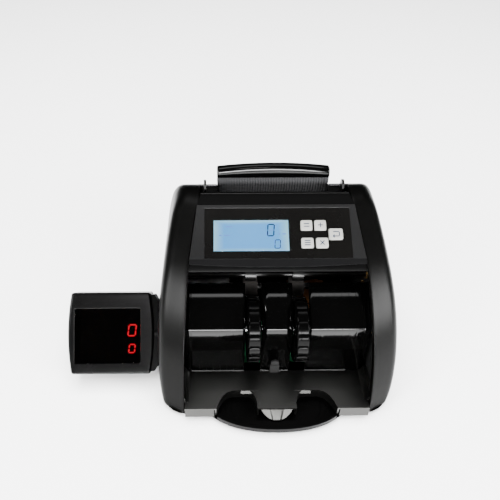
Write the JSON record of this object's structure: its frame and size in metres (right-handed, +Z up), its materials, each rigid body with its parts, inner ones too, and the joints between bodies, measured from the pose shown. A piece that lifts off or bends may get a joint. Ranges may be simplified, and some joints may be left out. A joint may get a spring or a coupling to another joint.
{
  "type": "banknote counting machine",
  "caption": "Desktop banknote counter with sloping control panel, rear hopper, front stacker with finger impellers, carry handle and a tilting side display.",
  "frame": {"origin": "centre of the plan footprint on the surface that the rubber feet stand on", "axes": "+X to the right seen from the front, +Y to the back, +Z up"},
  "size_m": [0.4088, 0.257, 0.227],
  "materials": {
    "cover_plastic": "fine satin texture",
    "hood_plastic": "fine satin texture",
    "bezel_plastic": "satin",
    "overlay_film": "smooth film",
    "gloss_black": "polished",
    "tray_plastic": "matte",
    "base_plastic": "gloss",
    "riser_plastic": "satin, ribbed",
    "rear_plastic": "satin",
    "key_plastic": "satin",
    "lcd_glass": "clear",
    "lcd_backlight": "lit blue backlight",
    "circuit_board": "solder mask",
    "frame_steel": "black paint",
    "bright_steel": "turned",
    "dark_steel": "blackened",
    "bronze": "oiled bronze",
    "guide_plate_steel": "satin",
    "roller_rubber": "ground rubber",
    "impeller_rubber": "smooth",
    "foot_rubber": "matte",
    "belt_rubber": "matte",
    "motor_can": "zinc plated",
    "pulley_plastic": "moulded nylon",
    "coil_lacquer": "lacquered core and winding",
    "sensor_plastic": "satin",
    "inlet_plastic": "moulded",
    "rocker_plastic": "gloss",
    "guide_clear": "bright",
    "display_plastic": "satin",
    "display_back_plastic": "satin",
    "smoked_glass": "dark tint",
    "led_red": "lit red segments",
    "screw_steel": "zinc plated"
  },
  "bodies": {
    "chassis": {"base_pan": "base_plastic", "rubber_feet": "foot_rubber", "left_side_cover": "cover_plastic", "right_side_cover": "cover_plastic", "top_cover": "hood_plastic", "panel_bezel": "bezel_plastic", "panel_overlay": "overlay_film", "lcd_window": "lcd_glass", "lcd_module": "lcd_backlight", "key_board": "circuit_board", "stacker_back_plate": "gloss_black", "stacker_tray": "tray_plastic", "stacker_sensor": "sensor_plastic", "hopper_plate": "rear_plastic", "handle_riser": "riser_plastic", "carry_handle": "gloss_black", "left_frame_plate": "frame_steel", "right_frame_plate": "frame_steel", "tie_rods": "dark_steel", "shaft_bearings": "bronze", "note_path_plates": "guide_plate_steel", "retard_shaft": "dark_steel", "retard_rollers": "roller_rubber", "main_motor": "motor_can", "impeller_motor": "motor_can", "main_drive_belt": "belt_rubber", "feed_belt": "belt_rubber", "transformer": "coil_lacquer", "main_board": "circuit_board", "rear_panel": "rear_plastic", "power_inlet": "inlet_plastic", "guide_rail": "bright_steel", "cover_screws": "screw_steel", "pivot_bushing": "display_back_plastic", "hinge_pins": "bright_steel"},
    "rear_door": {"rear_cover": "rear_plastic"},
    "mode_button": {"mode_key": "key_plastic"},
    "function_button": {"function_key": "key_plastic"},
    "batch_button": {"batch_key": "key_plastic"},
    "clear_button": {"clear_key": "key_plastic"},
    "restart_button": {"restart_key": "key_plastic"},
    "impeller": {"impeller_shaft": "bright_steel", "left_impeller": "impeller_rubber", "right_impeller": "impeller_rubber"},
    "counting_roller": {"count_shaft": "dark_steel", "count_rollers": "roller_rubber", "count_pulleys": "pulley_plastic"},
    "press_roller": {"press_roller_shaft": "dark_steel"},
    "feed_roller": {"feed_shaft": "bright_steel", "feed_rollers": "roller_rubber", "feed_pulley": "pulley_plastic"},
    "motor_rotor": {"motor_pulley": "bright_steel"},
    "left_guide": {"left_note_guide": "guide_clear"},
    "right_guide": {"right_note_guide": "guide_clear"},
    "rocker": {"power_rocker": "rocker_plastic"},
    "side_display": {"display_front": "display_plastic", "display_back": "display_back_plastic", "display_window": "smoked_glass", "display_digits": "led_red", "display_pivot": "display_back_plastic"}
  },
  "joints": [
    {"name": "rear_cover_hinge", "type": "hinge", "parent": "chassis", "child": "rear_door", "pos_m": [0.05962, 0.1165, 0.0786], "axis": [-1, 0, 0], "range_deg": [0, 90]},
    {"name": "mode_key_press", "type": "slide", "parent": "chassis", "child": "mode_button", "axis": [0, 0.4939, -0.8695], "range_m": [0, 0.001], "stiffness_N_per_m": 300},
    {"name": "function_key_press", "type": "slide", "parent": "chassis", "child": "function_button", "axis": [0, 0.4939, -0.8695], "range_m": [0, 0.001], "stiffness_N_per_m": 300},
    {"name": "batch_key_press", "type": "slide", "parent": "chassis", "child": "batch_button", "axis": [0, 0.4939, -0.8695], "range_m": [0, 0.001], "stiffness_N_per_m": 300},
    {"name": "clear_key_press", "type": "slide", "parent": "chassis", "child": "clear_button", "axis": [0, 0.4939, -0.8695], "range_m": [0, 0.001], "stiffness_N_per_m": 300},
    {"name": "restart_key_press", "type": "slide", "parent": "chassis", "child": "restart_button", "axis": [0, 0.4939, -0.8695], "range_m": [0, 0.001], "stiffness_N_per_m": 300},
    {"name": "impeller_spin", "type": "hinge", "parent": "chassis", "child": "impeller", "pos_m": [0.05962, -0.0325, 0.085], "axis": [1, 0, 0], "continuous": true},
    {"name": "count_spin", "type": "hinge", "parent": "chassis", "child": "counting_roller", "pos_m": [0.05962, 0.0255, 0.1], "axis": [1, 0, 0], "continuous": true},
    {"name": "press_spin", "type": "hinge", "parent": "chassis", "child": "press_roller", "pos_m": [0.05962, 0.0255, 0.1226], "axis": [1, 0, 0], "continuous": true},
    {"name": "feed_spin", "type": "hinge", "parent": "chassis", "child": "feed_roller", "pos_m": [0.05962, 0.0971, 0.1312], "axis": [1, 0, 0], "continuous": true},
    {"name": "motor_spin", "type": "hinge", "parent": "chassis", "child": "motor_rotor", "pos_m": [0.05962, 0.0655, 0.048], "axis": [1, 0, 0], "continuous": true},
    {"name": "left_guide_slide", "type": "slide", "parent": "chassis", "child": "left_guide", "axis": [1, 0, 0], "range_m": [0, 0.026]},
    {"name": "right_guide_slide", "type": "slide", "parent": "chassis", "child": "right_guide", "axis": [-1, 0, 0], "range_m": [0, 0.026]},
    {"name": "power_switch", "type": "hinge", "parent": "chassis", "child": "rocker", "pos_m": [0.13612, 0.1215, 0.04], "axis": [1, 0, 0], "range_deg": [0, 14]},
    {"name": "display_tilt", "type": "hinge", "parent": "chassis", "child": "side_display", "pos_m": [-0.09038, -0.013, 0.0555], "axis": [1, 0, 0], "range_deg": [-20, 35]}
  ],
  "couplings": [
    {"joint": "press_spin", "follows": "count_spin", "ratio": -1.4444},
    {"joint": "feed_spin", "follows": "count_spin", "ratio": 0.64286},
    {"joint": "motor_spin", "follows": "count_spin", "ratio": 1.5556},
    {"joint": "right_guide_slide", "follows": "left_guide_slide", "ratio": 1}
  ]
}
